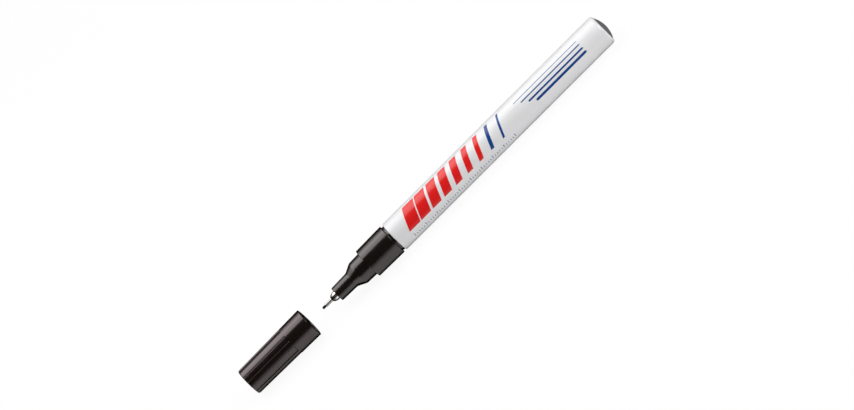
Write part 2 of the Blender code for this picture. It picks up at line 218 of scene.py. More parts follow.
def turn(outline: Sequence[Corner], columns: int) -> bmesh.types.BMesh:
    """Spin an outline about the marker's axis.

    An outline that starts on the axis has to end there too. Any other outline is closed to a ring.

    Args:
        outline: The corners, in order.
        columns: Number of faces around the axis.

    Returns:
        The closed shape, in millimetres.
    """
    shape = bmesh.new()
    corners = [shape.verts.new((corner.place, 0.0, AXIS_HEIGHT + corner.radius)) for corner in outline]
    sides = list(zip(corners, corners[1:]))
    if outline[0].radius > MERGE:
        sides.append((corners[-1], corners[0]))
    for side in sides:
        shape.edges.new(side)
    for corner, vert in zip(outline, corners):
        if corner.ease:
            bmesh.ops.bevel(shape, geom=[vert], offset=corner.ease, offset_type="OFFSET", affect="VERTICES",
                            segments=EASE_STEPS, profile=0.5, material=-1)
    guard_long_sides(shape)
    bmesh.ops.spin(shape, geom=shape.verts[:] + shape.edges[:], cent=(0.0, 0.0, AXIS_HEIGHT),
                   axis=ALONG_AXIS, angle=2 * math.pi, steps=columns, use_merge=True)
    bmesh.ops.remove_doubles(shape, verts=shape.verts, dist=MERGE)
    bmesh.ops.recalc_face_normals(shape, faces=shape.faces)
    return shape


def around(point: Vector) -> float:
    """Give a point's angle about the axis, from +Z towards +Y."""
    return math.atan2(point.y, point.z - AXIS_HEIGHT)


def clamp(value: float) -> float:
    """Hold a value between 0 and 1."""
    return min(max(value, 0.0), 1.0)


def pierce(shape: bmesh.types.BMesh, front: float, rear: float, middle: float, half_width: float) -> None:
    """Open a window through the wall of a turned tube.

    Args:
        shape: The tube, with rings of corners at both ends of the window.
        front: The window's front end.
        rear: The window's rear end.
        middle: Angle of the window's middle about the axis.
        half_width: Half of the window's angle.
    """
    inside = []
    for face in shape.faces:
        spot = face.calc_center_median()
        off = (around(spot) - middle + math.pi) % (2 * math.pi) - math.pi
        radial = math.hypot(face.normal.y, face.normal.z) > RADIAL_SHARE
        if front < spot.x < rear and abs(off) < half_width and radial:
            inside.append(face)
    rims = {edge for face in inside for edge in face.edges if not all(f in inside for f in edge.link_faces)}
    bmesh.ops.delete(shape, geom=inside, context="FACES")
    bmesh.ops.bridge_loops(shape, edges=[edge for edge in rims if edge.is_valid])
    bmesh.ops.recalc_face_normals(shape, faces=shape.faces)


def make_object(name: str, shape: bmesh.types.BMesh, material: bpy.types.Material) -> bpy.types.Object:
    """Make an object of a shape and add it to the scene.

    Args:
        name: The object's name.
        shape: Its shape in metres, which is used up.
        material: Its material.

    Returns:
        The object.
    """
    mesh = bpy.data.meshes.new(name)
    shape.to_mesh(mesh)
    shape.free()
    mesh.materials.append(material)
    item = bpy.data.objects.new(name, mesh)
    bpy.context.scene.collection.objects.link(item)
    return item


def stand(name: str, data: bpy.types.ID, place: Vector, axes: Sequence[Vector]) -> bpy.types.Object:
    """Stand a lamp or a camera in the scene.

    Args:
        name: The object's name.
        data: The lamp or camera.
        place: Where it stands.
        axes: Its right, its top and its back.

    Returns:
        The object.
    """
    item = bpy.data.objects.new(name, data)
    item.matrix_world = Matrix.Translation(place) @ Matrix(axes).transposed().to_4x4()
    bpy.context.scene.collection.objects.link(item)
    return item


class Field:
    """Value that changes over a surface; Math nodes stand behind its operators."""

    def __init__(self, socket: bpy.types.NodeSocket) -> None:
        """Keep the socket that gives the value."""
        self.socket = socket

    def apply(self, operation: str, *others: "Field | float") -> "Field":
        """Add a Math node that starts from this value.

        Args:
            operation: Name of the Math node's operation.
            others: The operation's other inputs.

        Returns:
            The result.
        """
        tree = self.socket.id_data
        node = tree.nodes.new("ShaderNodeMath")
        node.operation = operation
        for entry, value in zip(node.inputs, (self, *others)):
            if isinstance(value, Field):
                tree.links.new(value.socket, entry)
            else:
                entry.default_value = value
        return Field(node.outputs[0])

    def __add__(self, other: "Field | float") -> "Field":
        """Add."""
        return self.apply("ADD", other)

    def __sub__(self, other: "Field | float") -> "Field":
        """Subtract."""
        return self.apply("SUBTRACT", other)

    def __rsub__(self, other: float) -> "Field":
        """Subtract this from a number."""
        return self * -1.0 + other

    def __mul__(self, other: "Field | float") -> "Field":
        """Multiply."""
        return self.apply("MULTIPLY", other)

    def __truediv__(self, other: "Field | float") -> "Field":
        """Divide."""
        return self.apply("DIVIDE", other)

    def __lt__(self, other: "Field | float") -> "Field":
        """Give 1 where this is less, and 0 elsewhere."""
        return self.apply("LESS_THAN", other)

    def __gt__(self, other: "Field | float") -> "Field":
        """Give 1 where this is more, and 0 elsewhere."""
        return self.apply("GREATER_THAN", other)

    def within(self, low: float, high: float) -> "Field":
        """Give 1 between two limits, and 0 elsewhere."""
        return (self > low) * (self < high)

    def either(self, other: "Field | float") -> "Field":
        """Give the larger of the two."""
        return self.apply("MAXIMUM", other)


Source = Field | bpy.types.Node | float | Sequence[float]


@dataclass(frozen=True)
class Pattern:
    """Noise on a surface, in patches with finer layers.

    Start and full are the noise at which a mask of it starts and is full. Stretch is how much longer the
    patches are along each axis.
    """

    size: float
    layers: float
    start: float = 0.0
    full: float = 1.0
    stretch: tuple[float, float, float] = (1.0, 1.0, 1.0)


SMUDGES = Pattern(size=7.0, layers=4.0, start=0.35, full=0.68)
LONG_SCUFFS = Pattern(size=0.35, layers=2.0, start=0.64, full=0.74, stretch=(22.0, 1.0, 1.0))
CROSS_SCUFFS = Pattern(size=0.3, layers=2.0, start=0.68, full=0.76, stretch=(0.6, 6.0, 6.0))
CLOUDS = Pattern(size=9.0, layers=5.0, start=0.38, full=0.7)
SPECKS = Pattern(size=0.25, layers=1.0, start=0.66, full=0.74)
FINE_GRAIN = Pattern(size=0.16, layers=3.0)
BROAD_GRAIN = Pattern(size=1.5, layers=1.0)
STAIN_EDGE = Pattern(size=0.6, layers=3.0)
PRINT_EDGE = Pattern(size=0.22, layers=1.0)
LACQUER_EDGE = Pattern(size=0.8, layers=2.0)
RING_LAYERS = 2.0
RING_TONES = (0.3, 0.7)


class Board:
    """Node tree with short ways to add and wire its nodes."""

    def __init__(self, tree: bpy.types.NodeTree) -> None:
        """Keep the tree."""
        self.tree = tree

    @classmethod
    def of(cls, owner: bpy.types.Material | bpy.types.World) -> "Board":
        """Clear the nodes of a material or a world to build on.

        Args:
            owner: The material or world.

        Returns:
            Its empty board.
        """
        owner.use_nodes = True
        owner.node_tree.nodes.clear()
        return cls(owner.node_tree)

    def add(self, kind: str, inputs: dict[str | int, Source] | None = None,
            **settings: object) -> bpy.types.Node:
        """Add a node, set its options and feed its inputs.

        Args:
            kind: Blender's name for the node type.
            inputs: What feeds the node's inputs, by name or index.
            settings: Options of the node itself.

        Returns:
            The node.
        """
        node = self.tree.nodes.new(kind)
        for name, value in settings.items():
            setattr(node, name, value)
        for entry, value in (inputs or {}).items():
            self.feed(node.inputs[entry], value)
        return node

    def feed(self, entry: bpy.types.NodeSocket, value: Source) -> None:
        """Wire a field or a node's first output to an input, or set the input's own value.

        Args:
            entry: The input.
            value: A field, a node, a number or a colour.
        """
        if isinstance(value, Field):
            self.tree.links.new(value.socket, entry)
        elif isinstance(value, bpy.types.Node):
            self.tree.links.new(value.outputs[0], entry)
        elif entry.type == "RGBA":
            entry.default_value = (*value, 1.0)
        else:
            entry.default_value = value

    def read(self, kind: str, output: str) -> Field:
        """Add a node that needs no inputs and read one of its outputs."""
        return Field(self.add(kind).outputs[output])

    def group(self, tree: bpy.types.NodeTree, **inputs: Source) -> bpy.types.Node:
        """Place a node group and feed its inputs by name."""
        return self.add("ShaderNodeGroup", inputs, node_tree=tree)

    def axes(self) -> tuple[Field, Field, Field]:
        """Give the surface's Object coordinates in millimetres, with the axis at zero height.

        Returns:
            Place along the axis, place across it and height over it.
        """
        split = self.add("ShaderNodeSeparateXYZ", {"Vector": self.read("ShaderNodeTexCoord", "Object")})
        along, across, up = (Field(split.outputs[name]) * (1 / MM) for name in "XYZ")
        return along, across, up - AXIS_HEIGHT

    def noise(self, pattern: Pattern) -> Field:
        """Add noise on Object coordinates.

        Args:
            pattern: The noise's patches.

        Returns:
            The noise, from 0 to 1.
        """
        scale = [1 / (MM * pattern.size * longer) for longer in pattern.stretch]
        place = self.add("ShaderNodeMapping", {
            "Vector": self.read("ShaderNodeTexCoord", "Object"), "Scale": scale})
        noise = {"Vector": place, "Scale": 1.0, "Detail": pattern.layers, "Roughness": NOISE_ROUGHNESS}
        return Field(self.add("ShaderNodeTexNoise", noise).outputs[0])

    def mask(self, pattern: Pattern) -> Field:
        """Add noise as a mask, from 0 at the pattern's start to 1 where it is full."""
        return self.remap(self.noise(pattern), pattern.start, pattern.full, 0.0, 1.0)

    def ripple(self, pattern: Pattern, width: Field | float) -> Field:
        """Add noise that swings about 0, over a width."""
        return (self.noise(pattern) - 0.5) * width

    def remap(self, value: Field, low: float, high: float, to_low: float, to_high: float) -> Field:
        """Map a field from one range to another and clamp it there.

        Args:
            value: The field.
            low: Start of its range.
            high: End of its range.
            to_low: Result at the start.
            to_high: Result at the end.

        Returns:
            The mapped field.
        """
        limits = {"From Min": low, "From Max": high, "To Min": to_low, "To Max": to_high}
        return Field(self.add("ShaderNodeMapRange", {"Value": value, **limits}).outputs[0])

    def mix(self, mask: Field, below: Source, above: Source) -> Field:
        """Mix two colours.

        Args:
            mask: Share of the second colour.
            below: Colour where the mask is 0.
            above: Colour where the mask is 1.

        Returns:
            The mixed colour.
        """
        entries = dict(zip(MIX_ENTRIES, (mask, below, above)))
        return Field(self.add("ShaderNodeMix", entries, data_type="RGBA").outputs[MIX_RESULT])

    def blend(self, mask: Field, below: bpy.types.Node, above: bpy.types.Node) -> bpy.types.Node:
        """Mix two shaders, the first where a mask is 0 and the second where it is 1."""
        return self.add("ShaderNodeMixShader", {0: mask, 1: below, 2: above})

    def relief(self, height: Source) -> bpy.types.Node:
        """Raise the surface by a height in micrometres."""
        return self.add("ShaderNodeBump", {"Height": height, "Strength": 1.0, "Distance": MM * MM})


class GroupBoard(Board):
    """Shader node group in the making."""

    def __init__(self, name: str, inputs: Sequence[str], outputs: Sequence[str]) -> None:
        """Start the group.

        Args:
            name: The group's name.
            inputs: Names of its inputs.
            outputs: Names of its outputs.
        """
        super().__init__(bpy.data.node_groups.new(name, "ShaderNodeTree"))
        for names, direction in ((inputs, "INPUT"), (outputs, "OUTPUT")):
            for socket in names:
                kind = "NodeSocketColor" if socket in COLOUR_SOCKETS else "NodeSocketFloat"
                self.tree.interface.new_socket(socket, in_out=direction, socket_type=kind)
        self.source = self.add("NodeGroupInput")

    def given(self, name: str) -> Field:
        """Read one of the group's inputs."""
        return Field(self.source.outputs[name])

    def give(self, **results: Field) -> bpy.types.NodeTree:
        """Feed the group's outputs by name and hand the group over."""
        self.add("NodeGroupOutput", results)
        return self.tree


@cache
def rubbed_group() -> bpy.types.NodeTree:
    """Build the group that varies a gloss by smudged patches and fine scuffs.

    Returns:
        A group with inputs Roughness, Smudge and Scuff, and the output Roughness.
    """
    board = GroupBoard("rubbed_surface", ("Roughness", "Smudge", "Scuff"), ("Roughness",))
    smudge = (board.mask(SMUDGES) * 2.0 - 1.0) * board.given("Smudge")
    scuff = board.mask(LONG_SCUFFS).either(board.mask(CROSS_SCUFFS)) * board.given("Scuff")
    return board.give(Roughness=board.given("Roughness") + smudge + scuff)


@cache
def grain_group() -> bpy.types.NodeTree:
    """Build the group that gives a moulded or sprayed surface its fine relief.

    Returns:
        A group with inputs Fine and Broad, and the output Height.
    """
    board = GroupBoard("surface_grain", ("Fine", "Broad"), ("Height",))
    fine = board.noise(FINE_GRAIN) * board.given("Fine")
    return board.give(Height=fine + board.noise(BROAD_GRAIN) * board.given("Broad"))


@cache
def turned_group() -> bpy.types.NodeTree:
    """Build the group that gives turned metal its fine rings.

    Returns:
        A group with the input Pitch, in millimetres, and the outputs Height and Tone.
    """
    board = GroupBoard("turned_rings", ("Pitch",), ("Height", "Tone"))
    along, across, up = board.axes()
    outwards = (across * across + up * up).apply("SQRT")
    rung = (along + outwards) / board.given("Pitch")
    noise = {"W": rung, "Scale": 1.0, "Detail": RING_LAYERS}
    rings = Field(board.add("ShaderNodeTexNoise", noise, noise_dimensions="1D").outputs[0])
    return board.give(Height=rings, Tone=board.remap(rings, *RING_TONES, 0.0, 1.0))


@cache
def drift_group() -> bpy.types.NodeTree:
    """Build the group that lets a colour drift a little over the surface.

    Returns:
        A group with inputs Color, Aged and Drift, and the output Color.
    """
    board = GroupBoard("colour_drift", ("Color", "Aged", "Drift"), ("Color",))
    share = board.mask(CLOUDS).either(board.mask(SPECKS)) * board.given("Drift")
    return board.give(Color=board.mix(share, board.given("Color"), board.given("Aged")))


@cache
def ink_and_shade_group() -> bpy.types.NodeTree:
    """Build the group that darkens a colour towards the tip: dried ink, and on the ferrule painted shade.

    Returns:
        A group with inputs Color, Ink, Share, Start and Length, and the output Color.
    """
    board = GroupBoard("ink_stain_and_painted_shade", ("Color", "Ink", "Share", "Start", "Length"), ("Color",))
    along, _, _ = board.axes()
    length = board.given("Length")
    behind = (along + board.ripple(STAIN_EDGE, length) - board.given("Start")) / length
    stained = board.remap(behind, 0.0, 1.0, 1.0, 0.0) * board.given("Share")
    return board.give(Color=board.mix(stained, board.given("Color"), board.given("Ink")))


@dataclass(frozen=True)
class Finish(ABC):
    """Finish of a surface: its record slot, its main colour and its gloss."""

    slot: Slot
    colour: Colour
    roughness: float

    @abstractmethod
    def dress(self, board: Board) -> dict[str, Source]:
        """Build the finish's own nodes.

        Args:
            board: The material's nodes.

        Returns:
            What feeds the inputs of the Principled BSDF, by name.
        """

    @cache
    def material(self) -> bpy.types.Material:
        """Build the finish's material once.

        Returns:
            The material.
        """
        material = bpy.data.materials.new(f"{self.slot.value}_finish")
        board = Board.of(material)
        shader = board.add("ShaderNodeBsdfPrincipled", self.dress(board))
        board.add("ShaderNodeOutputMaterial", {"Surface": shader})
        return material


@dataclass(frozen=True)
class MouldedPlastic(Finish):
    """Moulded plastic: fine eroded grain, a broad sink, smudges and light scuffs."""

    rubbed: Colour
    drift: float = 0.25
    grain: float = 0.35
    sink: float = 1.2
    smudge: float = 0.03
    scuff: float = 0.08
    specular: float = 0.5
    sheen: Colour = WHITE

    def dress(self, board: Board) -> dict[str, Source]:
        """Build colour drift, rubbed gloss and grain.

        Args:
            board: The material's nodes.

        Returns:
            What feeds the inputs of the Principled BSDF, by name.
        """
        return {
            "Base Color": board.group(drift_group(), Color=self.colour, Aged=self.rubbed, Drift=self.drift),
            "Roughness": board.group(rubbed_group(), Roughness=self.roughness, Smudge=self.smudge,
                                     Scuff=self.scuff),
            "Normal": board.relief(board.group(grain_group(), Fine=self.grain, Broad=self.sink)),
            "Specular IOR Level": self.specular,
            "Specular Tint": self.sheen,
        }


@dataclass(frozen=True)
class TurnedMetal(Finish):
    """Turned, drawn or plated metal: fine rings in tone, gloss and relief, and a front darkened with ink and
    painted shade.
    """

    dulled: Colour
    pitch: float
    ring_depth: float
    ring_gloss: float = 0.06
    ring_tone: float = 0.5
    smudge: float = 0.02
    scuff: float = 0.06
    # Colour of the darker front: dried ink on the needle, painted shade on the plated ferrule
    ink: Colour = (0.03, 0.026, 0.024)
    ink_and_shade_share: float = 0.0
    ink_and_shade_start: float = 0.0
    ink_and_shade_length: float = 1.0

    def dress(self, board: Board) -> dict[str, Source]:
        """Build ring tone, the front's ink stain and painted shade, rubbed gloss and ring relief.

        Args:
            board: The material's nodes.

        Returns:
            What feeds the inputs of the Principled BSDF, by name.
        """
        rings = board.group(turned_group(), Pitch=self.pitch)
        tone = Field(rings.outputs["Tone"])
        clean = board.mix(tone * self.ring_tone, self.colour, self.dulled)
        gloss = board.group(rubbed_group(), Roughness=self.roughness, Smudge=self.smudge, Scuff=self.scuff)
        return {
            "Base Color": board.group(ink_and_shade_group(), Color=clean, Ink=self.ink, Share=self.ink_and_shade_share,
                                      Start=self.ink_and_shade_start, Length=self.ink_and_shade_length),
            "Metallic": 1.0,
            "Roughness": Field(gloss.outputs[0]) + tone * self.ring_gloss,
            "Normal": board.relief(Field(rings.outputs["Height"]) * self.ring_depth),
        }


@dataclass(frozen=True)
class SoftFibre(Finish):
    """Bonded fibre, felt or rubber: short hairs along the axis, or an even matt grain."""

    wet: Colour
    hair: float
    hair_length: float
    depth: float
    specular: float = 0.5
    layers: float = 3.0
    wet_to_dry: tuple[float, float] = (0.36, 0.64)
    bright_to_matt: tuple[float, float] = (0.3, 0.7)
    brighter: float = 0.12
    duller: float = 0.08

    def dress(self, board: Board) -> dict[str, Source]:
        """Build hair colour, gloss and hair relief.

        Args:
            board: The material's nodes.

        Returns:
            What feeds the inputs of the Principled BSDF, by name.
        """
        hairs = board.noise(Pattern(self.hair, self.layers, stretch=(self.hair_length, 1.0, 1.0)))
        dry = board.remap(hairs, *self.wet_to_dry, 0.0, 1.0)
        return {
            "Base Color": board.mix(dry, self.wet, self.colour),
            "Roughness": board.remap(hairs, *self.bright_to_matt, self.roughness - self.brighter,
                                     self.roughness + self.duller),
            "Normal": board.relief(hairs * self.depth),
            "Specular IOR Level": self.specular,
        }


@dataclass(frozen=True)
class StripePrint:
    """Printed design on the unrolled barrel: slanted stripes, strokes behind them and a row of ticks.

    Places along it start at the barrel's mouth, and places round it at the line that faces the viewer.
    """

    along: Field
    girth: Field
    stripe_start: float = 6.0
    stripe_pitch: float = 5.25
    stripe_width: float = 4.85
    stripe_thinning: float = 0.5
    stripe_slant: float = 0.42
    stripe_foot: float = -2.4
    stripe_top: float = 5.7
    red_stripes: int = 7
    all_stripes: int = 9
    stroke_start: float = 57.0
    stroke_lag: float = 2.2
    stroke_end: float = 85.0
    stroke_top: float = 3.4
    stroke_pitch: float = 1.55
    stroke_widths: tuple[float, ...] = (0.25, 0.4, 0.6, 0.85)
    tick_start: float = 5.5
    tick_end: float = 50.5
    tick_foot: float = -5.3
    tick_half_width: float = 0.11
    short_tick: float = 0.75
    long_tick: float = 1.35
    long_every: float = 5.0

    def stripes(self) -> tuple[Field, Field]:
        """Draw a row of slanted stripes that get thinner towards the rear.

        Returns:
            The mask of the red stripes and the mask of the blue ones behind them.
        """
        run = self.along - self.girth * self.stripe_slant - self.stripe_start
        number = (run / self.stripe_pitch).apply("FLOOR")
        filled = run - number * self.stripe_pitch < self.stripe_width - number * self.stripe_thinning
        stripe = filled * self.girth.within(self.stripe_foot, self.stripe_top)
        middle = number + 0.5
        red = stripe * middle.within(0.0, self.red_stripes)
        return red, stripe * middle.within(self.red_stripes, self.all_stripes)

    def strokes(self) -> Field:
        """Draw parallel strokes of growing width, with round ends.

        Returns:
            The strokes' mask.
        """
        strokes = []
        for index, width in enumerate(self.stroke_widths):
            before = self.stroke_start + self.stroke_lag * index - self.along
            past = before.either(self.along - self.stroke_end).either(0.0)
            aside = self.girth - (self.stroke_top - self.stroke_pitch * index)
            strokes.append(past * past + aside * aside < (width / 2) ** 2)
        return reduce(Field.either, strokes)

    def ticks(self) -> Field:
        """Draw a fine tick at each millimetre, with a longer one at every fifth.

        Returns:
            The ticks' mask.
        """
        run = self.along - self.tick_start
        nearest = run.apply("ROUND")
        line = (run - nearest).apply("ABSOLUTE") < self.tick_half_width
        fifth = nearest.apply("FLOORED_MODULO", self.long_every) < 0.5
        top = fifth * (self.long_tick - self.short_tick) + (self.tick_foot + self.short_tick)
        row = run.within(-0.5, self.tick_end - self.tick_start + 0.5)
        return line * (self.girth > self.tick_foot) * (self.girth < top) * row


@dataclass(frozen=True)
class BarrelLacquer(Finish):
    """White lacquer with a printed design, and the bare turned metal of the domed end."""

    mouth: float
    bare_from: float
    print_radius: float
    aged: Colour = (0.75, 0.755, 0.765)
    red: Colour = (0.74, 0.012, 0.012)
    blue: Colour = (0.004, 0.055, 0.25)
    print_roughness: float = 0.24
    print_height: float = 6.0
    print_raggedness: float = 0.03
    bare: Colour = (0.36, 0.36, 0.37)
    dulled: Colour = (0.2592, 0.2592, 0.2664)
    bare_roughness: float = 0.33
    bare_raggedness: float = 0.08
    drift: float = 0.35
    grain: float = 0.12
    wave: float = 1.1
    smudge: float = 0.03
    scuff: float = 0.07
    ring_pitch: float = 0.12
    ring_depth: float = 2.5
    ring_tone: float = 0.6
    ring_gloss: float = 0.1

    def print_group(self) -> bpy.types.NodeTree:
        """Build the group that tells print and bare metal from lacquer.

        The design faces the viewer, and is repeated on the side behind.

        Returns:
            A group with the outputs Red, Blue and Bare.
        """
        board = GroupBoard("barrel_print", (), ("Red", "Blue", "Bare"))
        along, across, up = board.axes()
        angle = up.apply("ARCTAN2", across * -1.0) - VIEW_LIFT
        facing = angle.apply("WRAP", math.pi / 2, -math.pi / 2)
        ragged = board.ripple(PRINT_EDGE, self.print_raggedness)
        design = StripePrint(along - self.mouth + ragged, facing * self.print_radius + ragged)
        red, blue = design.stripes()
        uneven = along + ragged + board.ripple(LACQUER_EDGE, self.bare_raggedness)
        return board.give(Red=red, Blue=blue.either(design.strokes()).either(design.ticks()),
                          Bare=uneven > self.bare_from)

    def dress(self, board: Board) -> dict[str, Source]:
        """Build lacquer, print and bare metal.

        Args:
            board: The material's nodes.

        Returns:
            What feeds the inputs of the Principled BSDF, by name.
        """
        marks = board.group(self.print_group())
        red, blue, bare = (Field(marks.outputs[name]) for name in ("Red", "Blue", "Bare"))
        ink = red.either(blue)
        rings = board.group(turned_group(), Pitch=self.ring_pitch)
        tone = Field(rings.outputs["Tone"])
        lacquer = board.group(drift_group(), Color=self.colour, Aged=self.aged, Drift=self.drift)
        printed = board.mix(blue, board.mix(red, lacquer, self.red), self.blue)
        metal = board.mix(tone * self.ring_tone, self.bare, self.dulled)
        rubbed = board.group(rubbed_group(), Roughness=self.roughness, Smudge=self.smudge, Scuff=self.scuff)
        gloss = Field(rubbed.outputs[0]) + ink * (self.print_roughness - self.roughness)
        bare_gloss = tone * self.ring_gloss + (self.bare_roughness - self.roughness)
        grain = Field(board.group(grain_group(), Fine=self.grain, Broad=self.wave).outputs[0])
        coat = grain * (1.0 - bare) + ink * self.print_height
        return {
            "Base Color": board.mix(bare, printed, metal),
            "Metallic": bare,
            "Roughness": gloss + bare * bare_gloss,
            "Normal": board.relief(coat + bare * Field(rings.outputs["Height"]) * self.ring_depth),
        }


BLACK_PLASTIC = MouldedPlastic(
    Slot.BLACK_PLASTIC, (0.0034, 0.0022, 0.0012), roughness=0.2, rubbed=(0.0065, 0.005, 0.004),
    specular=0.92, sheen=(1.0, 0.91, 0.92))
CAP_PLASTIC = MouldedPlastic(
    Slot.BLACK_PLASTIC, (0.0036, 0.0018, 0.001), roughness=0.2, rubbed=(0.007, 0.005, 0.004),
    specular=1.0, sheen=(1.0, 0.84, 0.87))
LINER_PLASTIC = MouldedPlastic(
    Slot.LINER_PLASTIC, (0.033, 0.033, 0.034), roughness=0.42, rubbed=(0.05, 0.05, 0.05))
WHITE_PLASTIC = MouldedPlastic(
    Slot.WHITE_PLASTIC, (0.69, 0.69, 0.66), roughness=0.42, rubbed=(0.6, 0.59, 0.54))
GREY_PLASTIC = MouldedPlastic(
    Slot.GREY_PLASTIC, (0.09, 0.09, 0.095), roughness=0.4, rubbed=(0.13, 0.13, 0.13))
# The ferrule's darkened front is painted shade: it stands for the dark reflection on the front of its dome
PLATING = TurnedMetal(
    Slot.BRIGHT_METAL, (0.85, 0.83, 0.81), roughness=0.06, dulled=(0.74, 0.72, 0.7), pitch=0.08,
    ring_depth=0.12, ring_gloss=0.04, ink_and_shade_share=0.85, ink_and_shade_start=Span.of("tip_ferrule").front + 1.0,
    ink_and_shade_length=0.6)
TUBE_STEEL = TurnedMetal(
    Slot.TUBE_STEEL, (0.66, 0.645, 0.63), roughness=0.04, dulled=(0.55, 0.54, 0.53), pitch=0.08,
    ring_depth=0.04, ring_gloss=0.03, ink_and_shade_share=0.25, ink_and_shade_start=Span.of("needle_tube").front + 2.0)
SPRING_STEEL = TurnedMetal(
    Slot.SPRING_STEEL, (0.5, 0.5, 0.51), roughness=0.22, dulled=(0.34, 0.34, 0.35), pitch=0.06,
    ring_depth=0.3)
RUBBER = SoftFibre(
    Slot.RUBBER, (0.022, 0.022, 0.022), roughness=0.62, wet=(0.014, 0.014, 0.014), hair=0.12,
    hair_length=1.0, depth=2.0)
NIB_FIBRE = SoftFibre(
    Slot.NIB_FIBRE, (0.01, 0.009, 0.009), roughness=0.7, wet=(0.004, 0.0036, 0.0036), hair=0.05,
    hair_length=9.0, depth=4.0, specular=0.15)
WICK_FELT = SoftFibre(
    Slot.WICK_FELT, (0.06, 0.06, 0.063), roughness=0.85, wet=(0.012, 0.012, 0.014), hair=0.1,
    hair_length=5.0, depth=14.0)


class Assembly(ABC):
    """Sub-assembly of turned pieces that stand for CAD nodes."""

    @abstractmethod
    def build(self) -> None:
        """Build every piece of the sub-assembly."""

    def add(self, name: str, shape: bmesh.types.BMesh, node: str, body: Body,
            finish: Finish) -> bpy.types.Object:
        """Make a finished piece of a shape and let it stand for a CAD node.

        Args:
            name: The piece's name.
            shape: Its shape in millimetres, which is used up.
            node: The CAD node that it stands for.
            body: The body that it rides on.
            finish: Its finish.

        Returns:
            The piece.
        """
        bmesh.ops.scale(shape, vec=(MM, MM, MM), verts=shape.verts)
        piece = make_object(name, shape, finish.material())
        piece.data.shade_smooth()
        piece.data.set_sharp_from_angle(angle=SHARP_ANGLE)
        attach(piece, body.value)
        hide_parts(node)
        LOG.info("%s: %d faces, stands for %s on %s", name, len(piece.data.polygons), node, body.value)
        return piece


@dataclass
class Barrel(Assembly):
    """Lacquered metal cup with a round mouth, a round rear corner and a bare domed end."""

    wall: float = 0.5
    mouth_ease: float = 0.3
    corner_ease: float = 0.8
    rim_width: float = 0.05
    rim_ease: float = 0.04
    dome_height: float = 1.3
    dome_steps: int = 14
    columns: int = 192
    lacquer: Colour = (0.79, 0.797, 0.817)
    roughness: float = 0.2

    def build(self) -> None:
        """Build the barrel."""
        span = Span.of("barrel")
        base = span.rear - self.dome_height
        bore = span.radius - self.wall
        dome_rim = span.radius - self.corner_ease - self.rim_width
        inside = dome(base - self.wall, dome_rim - self.wall, self.dome_height, self.dome_steps)[::-1]
        outside = dome(base, dome_rim, self.dome_height, self.dome_steps)
        outline = Outline(inside).out(bore, self.rim_width).along(span.front, self.rim_ease)
        outline.out(span.radius, self.mouth_ease).along(base, self.corner_ease)
        finish = BarrelLacquer(Slot.LACQUER, self.lacquer, self.roughness, mouth=span.front,
                               bare_from=base + self.rim_ease, print_radius=span.radius)
        self.add("lacquered_barrel", turn(outline + outside, self.columns), "barrel", Body.MARKER, finish)


@dataclass
class FrontSection(Assembly):
    """Black moulding with nose, cone, neck, collar, ring and plug, and the seal ring on its plug."""

    nose_length: float = 6.6
    nose_front_radius: float = 2.65
    nose_rear_radius: float = 2.825
    nose_ease: float = 0.25
    cone_length: float = 3.05
    neck_length: float = 4.3
    neck_front_radius: float = 4.325
    neck_rear_radius: float = 4.45
    collar_length: float = 11.04
    collar_taper: float = 0.15
    collar_ease: float = 0.22
    ring_length: float = 0.96
    ring_taper: float = 0.18
    plug_radius: float = 5.05
    plug_lead: float = 0.3
    seal_place: float = 3.4
    seal_cord: float = 0.58
    groove_room: float = 0.1
    lip_bore: float = 1.7
    lip_length: float = 0.8
    nose_bore: float = 2.0
    chamber_bore: float = 2.75
    chamber_inset: float = 0.3
    valve_bore: float = 3.25
    seat_inset: float = 2.0
    blend_ease: float = 0.35
    crisp_ease: float = 0.06
    columns: int = 160
    seal_steps: int = 20

    def build(self) -> None:
        """Build the moulding and the seal ring."""
        span = Span.of("front_section")
        nose_rear = span.front + self.nose_length
        neck_front = nose_rear + self.cone_length
        collar_front = neck_front + self.neck_length
        collar_rear = collar_front + self.collar_length
        mouth = collar_rear + self.ring_length
        seal = Span.of("barrel_seal")
        seal_middle = span.rear - self.seal_place
        groove_half = self.seal_cord / 2 + self.groove_room
        groove_floor = seal.radius - self.seal_cord - self.groove_room
        crisp = self.crisp_ease
        outline = Outline().to(span.front, self.nose_front_radius, self.nose_ease)
        outline.to(nose_rear, self.nose_rear_radius, self.blend_ease)
        outline.to(neck_front, self.neck_front_radius, self.blend_ease)
        outline.to(collar_front, self.neck_rear_radius, crisp)
        outline.out(span.radius - self.collar_taper, self.collar_ease).to(collar_rear, span.radius, crisp)
        outline.out(self.plug_radius - self.ring_taper, crisp).to(mouth, self.plug_radius)
        outline.along(seal_middle - groove_half, crisp).out(groove_floor, crisp)
        outline.along(seal_middle + groove_half, crisp).out(self.plug_radius, crisp)
        outline.along(span.rear - self.plug_lead).to(span.rear, self.plug_radius - self.plug_lead, crisp)
        outline.out(self.valve_bore, crisp).along(mouth - self.seat_inset).out(self.chamber_bore, crisp)
        outline.along(neck_front + self.chamber_inset).out(self.nose_bore, crisp)
        outline.along(span.front + self.lip_length).out(self.lip_bore, crisp).along(span.front, crisp)
        self.add("moulded_front", turn(outline, self.columns), "front_section", Body.MARKER, BLACK_PLASTIC)
        cord = arc((seal_middle, seal.radius - self.seal_cord / 2), self.seal_cord / 2, 0.0, 360.0,
                   self.seal_steps)[:-1]
        self.add("seal_ring", turn(cord, self.columns), "barrel_seal", Body.MARKER, RUBBER)


